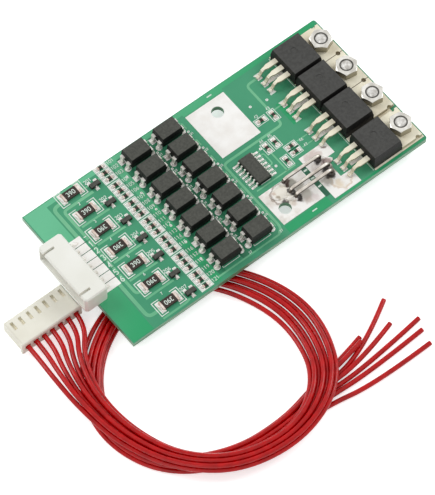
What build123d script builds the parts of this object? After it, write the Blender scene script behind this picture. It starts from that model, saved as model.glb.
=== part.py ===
from build123d import *
import math
import os

os.makedirs("parts", exist_ok=True)

# Lengths are in millimetres. X runs from the balance header to the switching transistors, Z up.
# The origin lies under the middle of the rigid assembly, at the undersides of the screw heads.

# Circuit board, carried clear of the table by its four screws
head_height = 3.0
washer_thick = 0.7
board_under = head_height + washer_thick
board_length = 95.4
board_width = 46.0
board_thick = 1.6
board_corner_r = 0.7
board_top = board_under + board_thick
land_thick = 0.1
part_seat = board_top + land_thick

# Balance header, whose mouth hangs out past the board's edge
pin_count = 7
pin_pitch = 2.5
pin_size = 0.64
pin_setback = 1.8
pin_foot = 1.46
header_overhang = 3.85
header_depth = 7.0
header_height = 5.75
header_side = 2.45
header_y = 1.04
header_wall = 0.8
header_back_wall = 1.0
header_corner = 0.6
header_edge = 0.35
slot_width = 0.7
slot_length = 3.3
slot_inset = 2.55
header_land_length = 4.92
header_land_width = 2.3
header_width = (pin_count - 1) * pin_pitch + 2 * header_side
pin_rows = [header_y + pin_pitch * (i - (pin_count - 1) / 2) for i in range(pin_count)]

# Seven cell circuits stand one above the other: a resistor, a transistor and three chips each
cell_count = 7
cell_pitch = 6.56
resistor_first_y = 20.7
resistor_last_drop = 0.5
resistor_stagger = [-0.23, -0.23, -0.18, -0.18, 0.23, 0.23, 0.23]
resistor_length = 5.0
resistor_width = 2.5
resistor_height = 0.55
resistor_cap = 0.5
resistor_cap_rise = 0.05
resistor_land_span = 6.75
resistor_land_length = 1.4
resistor_land_width = 3.4

bleed_first_y = 18.93
bleed_length = 2.9
bleed_width = 1.3
bleed_height = 1.0
bleed_lift = 0.1
bleed_edge = 0.12
bleed_lead_pitch = 1.9
bleed_lead_width = 0.45
bleed_lead_thick = 0.15
bleed_foot = 0.55

chip_length = 1.6
chip_width = 0.8
chip_height = 0.45
chip_cap = 0.35
chip_cap_rise = 0.03
chip_first_y = 20.15
chip_pitch = 2.02

# Optocouplers: two columns of seven four-lead packages
coupler_count = 7
coupler_first_y = 18.8
coupler_pitch = 6.08
coupler_length = 6.5
coupler_width = 4.58
coupler_lift = 0.6
coupler_height = 3.7
coupler_band = 0.3
coupler_draft = 7
coupler_lead_span = 7.62
coupler_lead_pitch = 2.54
coupler_lead_thick = 0.25
coupler_shoulder_width = 1.2
coupler_tail_width = 0.5
coupler_shoulder_drop = 1.55
coupler_tail_out = 0.5
lead_hole = coupler_tail_width + 0.25
coupler_band_z = board_top + coupler_lift + (coupler_height - coupler_band) / 2
coupler_rows = [coupler_first_y - coupler_pitch * i for i in range(coupler_count)]

# Power lands with the logic chip and its seven small chips between them, from the lands' left side
power_reach = 19.13
terminal_r = 1.7
load_land_size = (12.5, 15.5)
load_land_y = 12.63
load_hole = (7.58, 16.5)
battery_land_size = (13.5, 10.4)
battery_land_y = -14.8
battery_hole = (3.3, -16.4)
logic_spot = (4.17, -2.95)
logic_width = 3.9
logic_end = 0.515
logic_lift = 0.1
logic_height = 1.5
logic_edge = 0.25
logic_pin_pitch = 1.27
logic_pin_rows = 7
logic_pin_width = 0.42
logic_pin_thick = 0.2
logic_shoulder = 0.45
logic_pin_span = 6.0
logic_length = (logic_pin_rows - 1) * logic_pin_pitch + 2 * logic_end
control_chips = [
    (14.73, 7.55, 0),
    (18.33, 6.9, 90),
    (10.83, 0.2, 90),
    (13.53, 0.25, 90),
    (15.93, -3.1, 0),
    (15.93, -5.1, 0),
    (12.48, -5.95, 90),
]

# Switching transistors, lying on one tinned land and clamped through their tabs
fet_middle_y = -0.5
fet_gap = 0.1
fet_split = 1.0
fet_length = 9.2
fet_width = 10.0
fet_height = 4.4
fet_waist = 2.3
fet_draft = 9.5
fet_dimple = (4.6, 1.1)
fet_dimple_r = 0.9
fet_dimple_deep = 0.1
plate_thick = 1.25
plate_inset = (0.9, 0.7)
tab_length = 6.55
tab_width = 10.3
tab_margin = 0.85
tab_notch_back = 1.45
tab_notch_r = 0.6
tab_hole_back = 3.0
tab_hole_r = 1.8
tab_land_margin = (0.45, 0.35)
edge_notch = (1.6, 1.5)
fet_lead_pitch = 2.54
fet_lead_wide = 1.4
fet_lead_narrow = 0.85
fet_lead_z = 2.5
fet_lead_thick = 0.5
fet_lead_flat = 3.1
fet_lead_taper = 0.9
fet_lead_reach = 6.6
fet_land_width = 1.75
fet_land_length = 1.4

# Shunt land: an upper arm takes the third transistor's last lead, a lower arm the fourth's
shunt_gap = 1.55
shunt_arm = (1.4, 1.9)
shunt_upper = (0.44, 3.66)
shunt_lower = (1.24, 2.96)

# Shunt bridges: start from the power lands' left side, end short of the leads' feet, and y
bridge_d = 1.0
bridge_height = 2.2
bridge_bend_r = 1.1
bridge_bend_steps = 4
bridges = [(7.4, 2.5, -10.6), (7.0, 2.2, -13.8), (7.3, 2.7, -15.8)]

# Clamping screws, washers and nuts
screw_r = 1.5
screw_clearance = 0.1
head_r = 2.75
socket_flats = 2.5
socket_deep = 1.5
screw_tip = 0.35
screw_top = 4.05
washer_r = 3.4
nut_flats = 5.5
nut_height = 2.4
nut_mouth = 0.3
nut_crown = 30
nut_turns = [21.6, -8.4, -8.4, -8.4]

# Columns along the board, from the header's end. Each keeps its width, and the gaps between them
# stretch alike to fill the board's length.
column_widths = [
    resistor_land_span + max(resistor_stagger) - min(resistor_stagger),
    bleed_length,
    chip_length,
    coupler_lead_span + coupler_lead_thick,
    coupler_lead_span + coupler_lead_thick,
    power_reach,
    fet_lead_reach + fet_length + tab_length + tab_margin,
]
column_gaps = [2.25, 1.1, 1.9, 4.55, 2.15, 3.0, 2.6]

header_front = -board_length / 2 - header_overhang
header_back = header_front + header_depth
header_land_end = header_back + header_land_length
stretch = (board_length / 2 - header_land_end - sum(column_widths)) / sum(column_gaps)
column_starts = []
column_end = header_land_end
for gap, width in zip(column_gaps, column_widths):
    column_starts.append(column_end + gap * stretch)
    column_end = column_starts[-1] + width

resistor_x = column_starts[0] + resistor_land_span / 2 - min(resistor_stagger)
bleed_x = column_starts[1] + bleed_length / 2
chip_x = column_starts[2] + chip_length / 2
coupler_columns = {name: column_starts[i] + column_widths[i] / 2 for name, i in (("a", 3), ("b", 4))}
power_x = column_starts[5]
foot_x = column_starts[6]
fet_start = foot_x + fet_lead_reach
fet_end = fet_start + fet_length
tab_end = fet_end + tab_length

resistor_rows = [resistor_first_y - cell_pitch * i for i in range(cell_count)]
resistor_rows[-1] -= resistor_last_drop
resistor_spots = [(resistor_x + shift, y) for shift, y in zip(resistor_stagger, resistor_rows)]
bleed_rows = [bleed_first_y - cell_pitch * i for i in range(cell_count)]
cell_chips = [
    (chip_x, chip_first_y - cell_pitch * i + chip_pitch * k, 0)
    for i in range(cell_count)
    for k in (1, 0, -1)
]
coupler_spots = [(x, y) for x in coupler_columns.values() for y in coupler_rows]
fet_pitch = max(fet_width, tab_width) + fet_gap
fet_rows = [fet_middle_y + fet_split / 2 + fet_pitch * k for k in (1.5, 0.5, -0.5)]
fet_rows.append(fet_middle_y - fet_split / 2 - fet_pitch * 1.5)

# Balance plug, lying flat beside the header
plug_x = -60.2
plug_face_y = -5.9
plug_length = 8.2
plug_side = 1.45
plug_height = 4.2
plug_edge = 0.3
flange_length = 0.8
flange_lip = 0.35
entry_size = 1.6
entry_deep = 1.0
window_width = 0.9
window_length = 2.4
window_start = 4.7
window_deep = 1.4
contact_thick = 0.5
plug_width = (pin_count - 1) * pin_pitch + 2 * plug_side

# Harness wires, numbered from the plug's outer end inwards
wire_d = 1.3
wire_exit_z = plug_height / 2
low = wire_d / 2
high = 3.19

# The header's overhang sets the board off the middle of the assembly by half of itself.
board_x = header_overhang / 2


def at(x, y):
    """A place on the board, given from the board's centre."""
    return (board_x + x, y)


def patch(x0, x1, y0, y1):
    """Adds to the open sketch a rectangle given by its sides on the board."""
    with Locations(at((x0 + x1) / 2, (y0 + y1) / 2)):
        Rectangle(x1 - x0, y1 - y0)


# Board and lands

coupler_leads_at = [
    at(x + side * coupler_lead_span / 2, y + row * coupler_lead_pitch / 2)
    for x, y in coupler_spots
    for side in (-1, 1)
    for row in (-1, 1)
]
tab_hole_x = tab_end - tab_hole_back
screws_at = [at(tab_hole_x, y) for y in fet_rows]
load_hole_at = at(power_x + load_hole[0], load_hole[1])
battery_hole_at = at(power_x + battery_hole[0], battery_hole[1])

with BuildPart() as circuit_board:
    with BuildSketch(Plane.XY.offset(board_under)) as board_outline:
        with Locations(at(0, 0)):
            Rectangle(board_length, board_width)
        fillet(board_outline.vertices().sort_by(Axis.X)[-2:], board_corner_r)
        with Locations(load_hole_at, battery_hole_at):
            Circle(terminal_r, mode=Mode.SUBTRACT)
        with Locations(*screws_at):
            Circle(screw_r + screw_clearance, mode=Mode.SUBTRACT)
        with Locations(*coupler_leads_at):
            Rectangle(lead_hole, lead_hole, mode=Mode.SUBTRACT)
    extrude(amount=board_thick)
circuit_board.part.label = "circuit_board"
export_step(circuit_board.part, "parts/circuit_board.step")

with BuildPart() as load_land:
    with BuildSketch(Plane.XY.offset(board_top)):
        with Locations(at(power_x + load_land_size[0] / 2, load_land_y)):
            Rectangle(*load_land_size)
        with Locations(load_hole_at):
            Circle(terminal_r, mode=Mode.SUBTRACT)
    extrude(amount=land_thick)
load_land.part.label = "load_land"
export_step(load_land.part, "parts/load_land.step")

with BuildPart() as battery_land:
    with BuildSketch(Plane.XY.offset(board_top)):
        with Locations(at(power_x + battery_land_size[0] / 2, battery_land_y)):
            Rectangle(*battery_land_size)
        with Locations(battery_hole_at):
            Circle(terminal_r, mode=Mode.SUBTRACT)
    extrude(amount=land_thick)
battery_land.part.label = "battery_land"
export_step(battery_land.part, "parts/battery_land.step")

shunt_start = power_x + battery_land_size[0] + shunt_gap
shunt_inner = foot_x - shunt_arm[0]
shunt_end = foot_x + shunt_arm[1]
upper_lead_y = fet_rows[2] - fet_lead_pitch
lower_lead_y = fet_rows[3] - fet_lead_pitch

with BuildPart() as shunt_land:
    with BuildSketch(Plane.XY.offset(board_top)):
        patch(shunt_start, shunt_inner, lower_lead_y - shunt_lower[1], upper_lead_y + shunt_upper[0])
        patch(shunt_inner, shunt_end, upper_lead_y - shunt_upper[1], upper_lead_y + shunt_upper[0])
        patch(shunt_inner, shunt_end, lower_lead_y - shunt_lower[1], lower_lead_y + shunt_lower[0])
    extrude(amount=land_thick)
shunt_land.part.label = "shunt_land"
export_step(shunt_land.part, "parts/shunt_land.step")

# The land under the tabs has a bare notch at the board's edge, between the two pairs of transistors.
tab_land_end = tab_end + tab_land_margin[0]
tab_land_side = tab_width / 2 + tab_land_margin[1]
notch_y = (fet_rows[2] + fet_rows[3]) / 2

with BuildPart() as tab_land:
    with BuildSketch(Plane.XY.offset(board_top)):
        patch(fet_start, tab_land_end, fet_rows[3] - tab_land_side, fet_rows[0] + tab_land_side)
        with Locations(*screws_at):
            Circle(screw_r + screw_clearance, mode=Mode.SUBTRACT)
        with Locations(at(tab_land_end - edge_notch[0] / 2, notch_y)):
            Rectangle(*edge_notch, mode=Mode.SUBTRACT)
    extrude(amount=land_thick)
tab_land.part.label = "tab_land"
export_step(tab_land.part, "parts/tab_land.step")

# Header, resistor and transistor-lead lands
own_land_leads = [
    y + row * fet_lead_pitch
    for i, y in enumerate(fet_rows)
    for row in (1, 0, -1)
    if i < 2 or row >= 0
]
with BuildPart() as small_lands:
    with BuildSketch(Plane.XY.offset(board_top)):
        for y in pin_rows:
            patch(header_back, header_land_end, y - header_land_width / 2, y + header_land_width / 2)
        for x, y in resistor_spots:
            for side in (-1, 1):
                with Locations(at(x + side * (resistor_land_span - resistor_land_length) / 2, y)):
                    Rectangle(resistor_land_length, resistor_land_width)
        for y in own_land_leads:
            with Locations(at(foot_x + fet_land_length / 2, y)):
                Rectangle(fet_land_length, fet_land_width)
    extrude(amount=land_thick)
small_lands.part.label = "small_lands"
export_step(small_lands.part, "parts/small_lands.step")

# Balance header

pin_z = board_top + header_height / 2

with BuildPart() as header_housing:
    with BuildSketch(Plane.XY.offset(board_top)):
        patch(header_front, header_back, header_y - header_width / 2, header_y + header_width / 2)
    extrude(amount=header_height)
    chamfer(header_housing.edges().filter_by(Axis.Z), header_corner)
    chamfer(header_housing.faces().sort_by(Axis.Z)[-1].edges(), header_edge)
    with BuildSketch(Plane.YZ.offset(board_x + header_front)):
        with Locations((header_y, pin_z)):
            Rectangle(header_width - 2 * header_wall, header_height - 2 * header_wall)
    extrude(amount=header_depth - header_back_wall, mode=Mode.SUBTRACT)
    with BuildSketch(Plane.XY.offset(board_top + header_height)):
        for side in (-1, 1):
            y = header_y + side * (header_width / 2 - slot_inset)
            patch(header_front, header_front + slot_length, y - slot_width / 2, y + slot_width / 2)
    extrude(amount=-header_wall, mode=Mode.SUBTRACT)
    with BuildSketch(Plane.YZ.offset(board_x + header_back)):
        with Locations(*[(y, pin_z) for y in pin_rows]):
            Rectangle(pin_size, pin_size)
    extrude(amount=-header_back_wall, mode=Mode.SUBTRACT)
header_housing.part.label = "header_housing"
export_step(header_housing.part, "parts/header_housing.step")

# Square pins through the back wall, bent down behind it to a short foot on each land
pin_tip_x = board_x + header_front + pin_setback
pin_back_x = board_x + header_back
pin_toe_x = pin_back_x + pin_size + pin_foot
pin_low = pin_z - pin_size / 2
pin_high = pin_z + pin_size / 2

with BuildPart() as header_pins:
    for y in pin_rows:
        with BuildSketch(Plane.XZ.offset(-y)):
            with BuildLine():
                Polyline(
                    (pin_tip_x, pin_low),
                    (pin_back_x, pin_low),
                    (pin_back_x, part_seat),
                    (pin_toe_x, part_seat),
                    (pin_toe_x, part_seat + pin_size),
                    (pin_back_x + pin_size, part_seat + pin_size),
                    (pin_back_x + pin_size, pin_high),
                    (pin_tip_x, pin_high),
                    close=True,
                )
            make_face()
        extrude(amount=pin_size / 2, both=True)
header_pins.part.label = "header_pins"
export_step(header_pins.part, "parts/header_pins.step")

# Balance resistors

for i, spot in enumerate(resistor_spots):
    with BuildPart() as balance_resistor:
        with BuildSketch(Plane.XY.offset(part_seat)):
            with Locations(at(*spot)):
                Rectangle(resistor_length - 2 * resistor_cap, resistor_width)
        extrude(amount=resistor_height)
    balance_resistor.part.label = f"balance_resistor_{i + 1}"
    export_step(balance_resistor.part, f"parts/balance_resistor_{i + 1}.step")

with BuildPart() as resistor_caps:
    with BuildSketch(Plane.XY.offset(part_seat)):
        for x, y in resistor_spots:
            for side in (-1, 1):
                with Locations(at(x + side * (resistor_length - resistor_cap) / 2, y)):
                    Rectangle(resistor_cap, resistor_width)
    extrude(amount=resistor_height + resistor_cap_rise)
resistor_caps.part.label = "resistor_caps"
export_step(resistor_caps.part, "parts/resistor_caps.step")

# Bleed transistors

with BuildPart() as bleed_transistors:
    with BuildSketch(Plane.XY.offset(board_top + bleed_lift)):
        with Locations(*[at(bleed_x, y) for y in bleed_rows]):
            Rectangle(bleed_length, bleed_width)
    extrude(amount=bleed_height)
    chamfer(bleed_transistors.faces().group_by(Axis.Z)[-1].edges(), bleed_edge)
bleed_transistors.part.label = "bleed_transistors"
export_step(bleed_transistors.part, "parts/bleed_transistors.step")

# Each has one lead on the near side and two on the far side.
bleed_leads_at = [
    (bleed_x + across, y, side)
    for y in bleed_rows
    for across, side in ((0, -1), (-bleed_lead_pitch / 2, 1), (bleed_lead_pitch / 2, 1))
]
with BuildPart() as bleed_leads:
    with BuildSketch(Plane.XY.offset(board_top)):
        for x, y, side in bleed_leads_at:
            with Locations(at(x, y + side * (bleed_width + bleed_foot) / 2)):
                Rectangle(bleed_lead_width, bleed_foot)
    extrude(amount=bleed_lead_thick)
    with BuildSketch(Plane.XY.offset(board_top + bleed_lead_thick)):
        for x, y, side in bleed_leads_at:
            with Locations(at(x, y + side * (bleed_width + bleed_lead_thick) / 2)):
                Rectangle(bleed_lead_width, bleed_lead_thick)
    extrude(amount=bleed_height / 2)
bleed_leads.part.label = "bleed_leads"
export_step(bleed_leads.part, "parts/bleed_leads.step")

# Small chip parts

chips_at = cell_chips + [(power_x + x, y, turn) for x, y, turn in control_chips]

with BuildPart() as chip_bodies:
    with BuildSketch(Plane.XY.offset(board_top)):
        for x, y, turn in chips_at:
            with Locations(at(x, y)):
                Rectangle(chip_length - 2 * chip_cap, chip_width, rotation=turn)
    extrude(amount=chip_height)
chip_bodies.part.label = "chip_bodies"
export_step(chip_bodies.part, "parts/chip_bodies.step")

with BuildPart() as chip_caps:
    with BuildSketch(Plane.XY.offset(board_top)):
        for x, y, turn in chips_at:
            reach = (chip_length - chip_cap) / 2
            for side in (-reach, reach):
                along = (side, 0) if turn == 0 else (0, side)
                with Locations(at(x + along[0], y + along[1])):
                    Rectangle(chip_cap, chip_width, rotation=turn)
    extrude(amount=chip_height + chip_cap_rise)
chip_caps.part.label = "chip_caps"
export_step(chip_caps.part, "parts/chip_caps.step")

# Optocouplers

for column, x in coupler_columns.items():
    for i, y in enumerate(coupler_rows):
        with BuildPart() as coupler:
            taper_height = (coupler_height - coupler_band) / 2
            for z, rise, draft in (
                (coupler_band_z, coupler_band, 0),
                (coupler_band_z + coupler_band, taper_height, coupler_draft),
                (coupler_band_z, -taper_height, coupler_draft),
            ):
                with BuildSketch(Plane.XY.offset(z)):
                    with Locations(at(x, y)):
                        Rectangle(coupler_length, coupler_width)
                extrude(amount=rise, taper=draft)
        coupler.part.label = f"coupler_{column}{i + 1}"
        export_step(coupler.part, f"parts/coupler_{column}{i + 1}.step")

# Leads: a shoulder out of the parting band, a broad upright and a narrow tail through the board
lead_out = (coupler_lead_span + coupler_lead_thick) / 2
shoulder_z = coupler_band_z + coupler_band / 2 - coupler_lead_thick / 2
upright_z = shoulder_z - coupler_shoulder_drop
tail_z = board_under - coupler_tail_out

with BuildPart() as coupler_leads:
    with BuildSketch(Plane.XY.offset(shoulder_z)):
        for x, y in coupler_spots:
            for side in (-1, 1):
                for row in (-1, 1):
                    shoulder = lead_out - coupler_length / 2
                    middle = x + side * (coupler_length + shoulder) / 2
                    with Locations(at(middle, y + row * coupler_lead_pitch / 2)):
                        Rectangle(shoulder, coupler_shoulder_width)
    extrude(amount=coupler_lead_thick)
    with BuildSketch(Plane.XY.offset(upright_z)):
        with Locations(*coupler_leads_at):
            Rectangle(coupler_lead_thick, coupler_shoulder_width)
    extrude(amount=coupler_shoulder_drop)
    with BuildSketch(Plane.XY.offset(tail_z)):
        with Locations(*coupler_leads_at):
            Rectangle(coupler_lead_thick, coupler_tail_width)
    extrude(amount=upright_z - tail_z)
coupler_leads.part.label = "coupler_leads"
export_step(coupler_leads.part, "parts/coupler_leads.step")

# Logic chip

logic_x = power_x + logic_spot[0]

with BuildPart() as logic_chip:
    with BuildSketch(Plane.XY.offset(board_top + logic_lift)):
        with Locations(at(logic_x, logic_spot[1])):
            Rectangle(logic_width, logic_length)
    extrude(amount=logic_height)
    chamfer(logic_chip.faces().sort_by(Axis.Z)[-1].edges(), logic_edge)
logic_chip.part.label = "logic_chip"
export_step(logic_chip.part, "parts/logic_chip.step")

logic_pins_at = [
    (side, logic_spot[1] + logic_pin_pitch * (i - (logic_pin_rows - 1) / 2))
    for side in (-1, 1)
    for i in range(logic_pin_rows)
]
logic_shoulder_z = board_top + logic_lift + logic_height / 2
with BuildPart() as logic_leads:
    for z, rise, start, end in (
        (board_top, logic_pin_thick, logic_width / 2 + logic_shoulder, logic_pin_span / 2),
        (board_top, logic_shoulder_z - board_top,
         logic_width / 2 + logic_shoulder - logic_pin_thick, logic_width / 2 + logic_shoulder),
        (logic_shoulder_z, logic_pin_thick, logic_width / 2, logic_width / 2 + logic_shoulder),
    ):
        with BuildSketch(Plane.XY.offset(z)):
            for side, y in logic_pins_at:
                with Locations(at(logic_x + side * (start + end) / 2, y)):
                    Rectangle(end - start, logic_pin_width)
        extrude(amount=rise)
logic_leads.part.label = "logic_leads"
export_step(logic_leads.part, "parts/logic_leads.step")

# Switching transistors

plate_start = fet_start + plate_inset[0]
plate_inner_width = fet_width - 2 * plate_inset[1]

for i, y in enumerate(fet_rows):
    with BuildPart() as fet_body:
        with BuildSketch(Plane.XY.offset(part_seat)):
            patch(fet_start, fet_end, y - fet_width / 2, y + fet_width / 2)
        extrude(amount=fet_waist)
        with BuildSketch(Plane.XY.offset(part_seat + fet_waist)):
            patch(fet_start, fet_end, y - fet_width / 2, y + fet_width / 2)
        extrude(amount=fet_height - fet_waist, taper=fet_draft)
        with BuildSketch(Plane.XY.offset(part_seat)):
            patch(plate_start, fet_end, y - plate_inner_width / 2, y + plate_inner_width / 2)
        extrude(amount=plate_thick, mode=Mode.SUBTRACT)
        with BuildSketch(Plane.XY.offset(part_seat + fet_height)):
            with Locations(at(fet_start + fet_dimple[0], y + fet_dimple[1])):
                Circle(fet_dimple_r)
        extrude(amount=-fet_dimple_deep, mode=Mode.SUBTRACT)
    fet_body.part.label = f"fet_body_{i + 1}"
    export_step(fet_body.part, f"parts/fet_body_{i + 1}.step")

# Leads: a broad flat run out of the body, a taper, and a narrow leg in an easy curve down to its foot
lead_top = board_top + fet_lead_z + fet_lead_thick / 2
lead_under = lead_top - fet_lead_thick
foot_top = part_seat + fet_lead_thick
flat_end = board_x + fet_start - fet_lead_flat
taper_end = flat_end - fet_lead_taper
foot_end = board_x + foot_x
leg_run = taper_end - foot_end
leg_drop = lead_top - foot_top
leg_curve = [(0, 0), (0.18, 0.05), (0.38, 0.24), (0.55, 0.62), (0.72, 0.93), (0.85, 1), (1, 1)]
leg_top = [(taper_end - leg_run * across, lead_top - leg_drop * down) for across, down in leg_curve]
leg_skew = 0.12
leg_under = [
    (x + leg_skew * math.sin(math.pi * (lead_top - z) / leg_drop), z - fet_lead_thick)
    for x, z in leg_top
]

for i, y in enumerate(fet_rows):
    with BuildPart() as fet_frame:
        with BuildSketch(Plane.XY.offset(part_seat)):
            patch(plate_start, fet_end, y - plate_inner_width / 2, y + plate_inner_width / 2)
            patch(fet_end, tab_end, y - tab_width / 2, y + tab_width / 2)
            notch_x = tab_end - tab_notch_back
            with Locations(at(notch_x, y - tab_width / 2), at(notch_x, y + tab_width / 2)):
                Circle(tab_notch_r, mode=Mode.SUBTRACT)
            with Locations(at(tab_hole_x, y)):
                Circle(tab_hole_r, mode=Mode.SUBTRACT)
        extrude(amount=plate_thick)
        for row in (-1, 0, 1):
            lead_y = y + row * fet_lead_pitch
            with BuildSketch(Plane.XY.offset(lead_under)):
                with BuildLine():
                    Polyline(
                        (board_x + fet_start, lead_y - fet_lead_wide / 2),
                        (flat_end, lead_y - fet_lead_wide / 2),
                        (taper_end, lead_y - fet_lead_narrow / 2),
                        (taper_end, lead_y + fet_lead_narrow / 2),
                        (flat_end, lead_y + fet_lead_wide / 2),
                        (board_x + fet_start, lead_y + fet_lead_wide / 2),
                        close=True,
                    )
                make_face()
            extrude(amount=fet_lead_thick)
            with BuildSketch(Plane.XZ.offset(-lead_y)):
                with BuildLine():
                    Polyline(*leg_top, *reversed(leg_under), close=True)
                make_face()
            extrude(amount=fet_lead_narrow / 2, both=True)
    fet_frame.part.label = f"fet_frame_{i + 1}"
    export_step(fet_frame.part, f"parts/fet_frame_{i + 1}.step")

# Clamping screws, washers and nuts

nut_seat = part_seat + plate_thick

with BuildPart() as clamp_screws:
    with BuildSketch(Plane.XY):
        with Locations(*screws_at):
            Circle(head_r)
            RegularPolygon(socket_flats / 2, 6, major_radius=False, mode=Mode.SUBTRACT)
    extrude(amount=socket_deep)
    with BuildSketch(Plane.XY.offset(socket_deep)):
        with Locations(*screws_at):
            Circle(head_r)
    extrude(amount=head_height - socket_deep)
    with BuildSketch(Plane.XY.offset(head_height)):
        with Locations(*screws_at):
            Circle(screw_r)
    extrude(amount=board_top + screw_top - head_height)
    chamfer(clamp_screws.faces().group_by(Axis.Z)[-1].edges(), screw_tip)
clamp_screws.part.label = "clamp_screws"
export_step(clamp_screws.part, "parts/clamp_screws.step")

with BuildPart() as clamp_washers:
    with BuildSketch(Plane.XY.offset(head_height)):
        with Locations(*screws_at):
            Circle(washer_r)
            Circle(screw_r + screw_clearance, mode=Mode.SUBTRACT)
    extrude(amount=washer_thick)
clamp_washers.part.label = "clamp_washers"
export_step(clamp_washers.part, "parts/clamp_washers.step")


def nut(spot, turn):
    """One hexagon nut, its top corners turned down to a cone."""
    with BuildPart() as hexagon:
        with BuildSketch(Plane.XY.offset(nut_seat)):
            with Locations(spot):
                RegularPolygon(nut_flats / 2, 6, major_radius=False, rotation=turn)
        extrude(amount=nut_height)
        with Locations((*spot, nut_seat)):
            Cone(
                nut_flats / 2 + nut_height / math.tan(math.radians(nut_crown)),
                nut_flats / 2,
                nut_height,
                align=(Align.CENTER, Align.CENTER, Align.MIN),
                mode=Mode.INTERSECT,
            )
        with BuildSketch(Plane.XY.offset(nut_seat)):
            with Locations(spot):
                Circle(screw_r)
        extrude(amount=nut_height, mode=Mode.SUBTRACT)
        rims = hexagon.edges().filter_by(GeomType.CIRCLE)
        mouth = rims.filter_by(lambda edge: edge.radius < screw_r + nut_mouth)
        chamfer(mouth.sort_by(Axis.Z)[-1], nut_mouth)
    return hexagon.part


with BuildPart() as clamp_nuts:
    for spot, turn in zip(screws_at, nut_turns):
        add(nut(spot, turn))
clamp_nuts.part.label = "clamp_nuts"
export_step(clamp_nuts.part, "parts/clamp_nuts.step")

# Shunt bridges between the battery land and the shunt land


def bridge_corner(x, side):
    """A bend from upright to level, in short chords: side -1 at the start, 1 at the end."""
    turns = [math.pi / 2 * step / bridge_bend_steps for step in range(bridge_bend_steps + 1)]
    top = board_top + bridge_height
    points = [
        (x - side * bridge_bend_r * (1 - math.cos(turn)), top - bridge_bend_r * (1 - math.sin(turn)))
        for turn in turns
    ]
    return points if side < 0 else points[::-1]


with BuildPart() as shunt_bridges:
    for start_reach, end_back, y in bridges:
        start = board_x + power_x + start_reach
        end = board_x + foot_x - end_back
        line = [(start, part_seat), *bridge_corner(start, -1), *bridge_corner(end, 1), (end, part_seat)]
        with BuildLine() as bridge_line:
            Polyline(*[(x, y, z) for x, z in line])
        with BuildSketch(Plane.XY.offset(part_seat)):
            with Locations((start, y)):
                Circle(bridge_d / 2)
        sweep(path=bridge_line.line, transition=Transition.RIGHT)
shunt_bridges.part.label = "shunt_bridges"
export_step(shunt_bridges.part, "parts/shunt_bridges.step")

# Balance plug

entries = [plug_x + pin_pitch * (i - (pin_count - 1) / 2) for i in range(pin_count)]
plug_mouth_y = plug_face_y + plug_length
window_y = plug_face_y + window_start

with BuildPart() as plug_housing:
    with BuildSketch(Plane.XY):
        patch(plug_x - plug_width / 2, plug_x + plug_width / 2, plug_face_y, plug_mouth_y)
        patch(
            plug_x - plug_width / 2 - flange_lip,
            plug_x + plug_width / 2 + flange_lip,
            plug_face_y,
            plug_face_y + flange_length,
        )
    extrude(amount=plug_height)
    chamfer(plug_housing.faces().sort_by(Axis.Z)[-1].edges(), plug_edge)
    with BuildSketch(Plane.XZ.offset(-plug_face_y)):
        with Locations(*[(board_x + x, wire_exit_z) for x in entries]):
            Rectangle(entry_size, entry_size)
    extrude(amount=-entry_deep, mode=Mode.SUBTRACT)
    with BuildSketch(Plane.XY.offset(plug_height)):
        for x in entries:
            patch(x - window_width / 2, x + window_width / 2, window_y, window_y + window_length)
    extrude(amount=-window_deep, mode=Mode.SUBTRACT)
plug_housing.part.label = "plug_housing"
export_step(plug_housing.part, "parts/plug_housing.step")

with BuildPart() as plug_contacts:
    with BuildSketch(Plane.XY.offset(plug_height - window_deep)):
        for x in entries:
            patch(x - window_width / 2, x + window_width / 2, window_y, window_y + window_length)
    extrude(amount=contact_thick)
plug_contacts.part.label = "plug_contacts"
export_step(plug_contacts.part, "parts/plug_contacts.step")

# Harness

# Where the wires stand as they fan in from the plug, and how far they leave it straight
straight_y = -9.8
fan_y = -17.0
fan = {1: -68.4, 2: -66.7, 3: -65.1, 4: -63.5, 5: -61.9, 6: -60.3, 7: -58.8}
fan_lift = 0.3
fan_rise = 0.85

# The bundle: every second wire rides on its two neighbours, lower where the bundle spreads.
tight = 0.67
rider_rise = 1.17
rider_settle = 0.6

# Corners of the coil's middle line: x, y, the lower wires' height, the spacing of the wires, and
# what single wires leave their lane by. The first turn lies on top of the second.
coil = [
    (-65.4, -27.5, high, 1.0, {}),
    (-64.2, -41.0, high, 0.85, {}),
    (-58.4, -54.6, high, tight, {}),
    (-46.5, -64.6, high, tight, {}),
    (-29.3, -66.9, high, tight, {}),
    (-15.4, -60.0, high + 0.9, 1.05, {}),
    (-9.0, -44.5, low, 1.36, {}),
    (-10.6, -31.0, low, 1.25, {7: 0.4}),
    (-19.2, -16.9, low, 0.95, {7: 0.2}),
    (-34.0, -8.8, low, 0.75, {}),
    (-51.6, -14.1, low, tight, {1: -1.4}),
    (-63.2, -25.0, low, tight, {1: -0.5}),
    (-66.6, -39.0, low, tight, {}),
    (-60.4, -53.4, low, tight, {}),
    (-45.5, -61.6, low, tight, {}),
    (-30.0, -62.6, low, tight, {}),
]

# The free ends, fanned out
tail_heading = (-19.0, -60.6)
tails = {
    1: [(-20.0, -64.3, low), (-6.0, -67.2, low), (11.9, -66.9, low)],
    2: [(-19.0, -63.0, 1.3), (-5.0, -63.8, low), (12.7, -62.8, low)],
    3: [(-19.0, -61.6, low), (-5.0, -62.1, low), (14.1, -59.8, low)],
    4: [(-19.0, -60.65, 1.75), (-5.0, -60.4, 1.5), (7.4, -56.6, 1.0)],
    5: [(-19.0, -59.7, low), (-4.0, -59.0, low), (10.6, -50.3, low)],
    6: [(-19.0, -58.95, 1.85), (-9.0, -57.75, 1.85), (-1.7, -56.1, 1.6)],
    7: [(-19.0, -58.2, low), (-9.0, -56.65, low), (-0.9, -54.7, low)],
}
middle_wire = 4


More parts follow.
